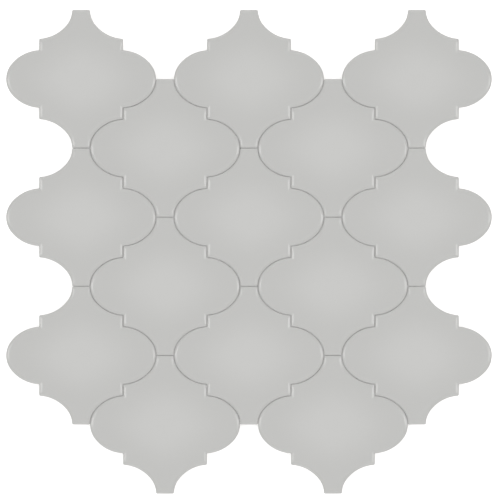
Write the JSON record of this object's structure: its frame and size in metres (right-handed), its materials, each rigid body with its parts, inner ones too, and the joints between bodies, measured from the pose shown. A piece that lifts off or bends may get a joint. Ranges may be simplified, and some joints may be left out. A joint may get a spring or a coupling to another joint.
{
  "type": "arabesque mosaic tile sheet",
  "caption": "Net-backed sheet of interlocking glazed lantern-shaped wall tiles set almost edge to edge.",
  "frame": {"origin": "on the floor, under the middle of the sheet's bounding box", "axes": "+X from lobe to lobe across the sheet, +Y from neck to neck up the sheet, +Z out of the glazed face"},
  "size_m": [0.2484, 0.2474, 0.0065],
  "materials": {
    "glazed_tile": "gloss",
    "net": "satin"
  },
  "bodies": {
    "root": {"tile_column1_row1": "glazed_tile", "tile_column1_row2": "glazed_tile", "tile_column1_row3": "glazed_tile", "tile_column2_row1": "glazed_tile", "tile_column2_row2": "glazed_tile", "tile_column2_row3": "glazed_tile", "tile_column3_row1": "glazed_tile", "tile_column3_row2": "glazed_tile", "tile_column3_row3": "glazed_tile", "tile_column4_row1": "glazed_tile", "tile_column4_row2": "glazed_tile", "tile_column4_row3": "glazed_tile", "tile_column5_row1": "glazed_tile", "tile_column5_row2": "glazed_tile", "tile_column5_row3": "glazed_tile", "net_yarns_across": "net", "net_yarns_along": "net"}
  },
  "joints": []
}
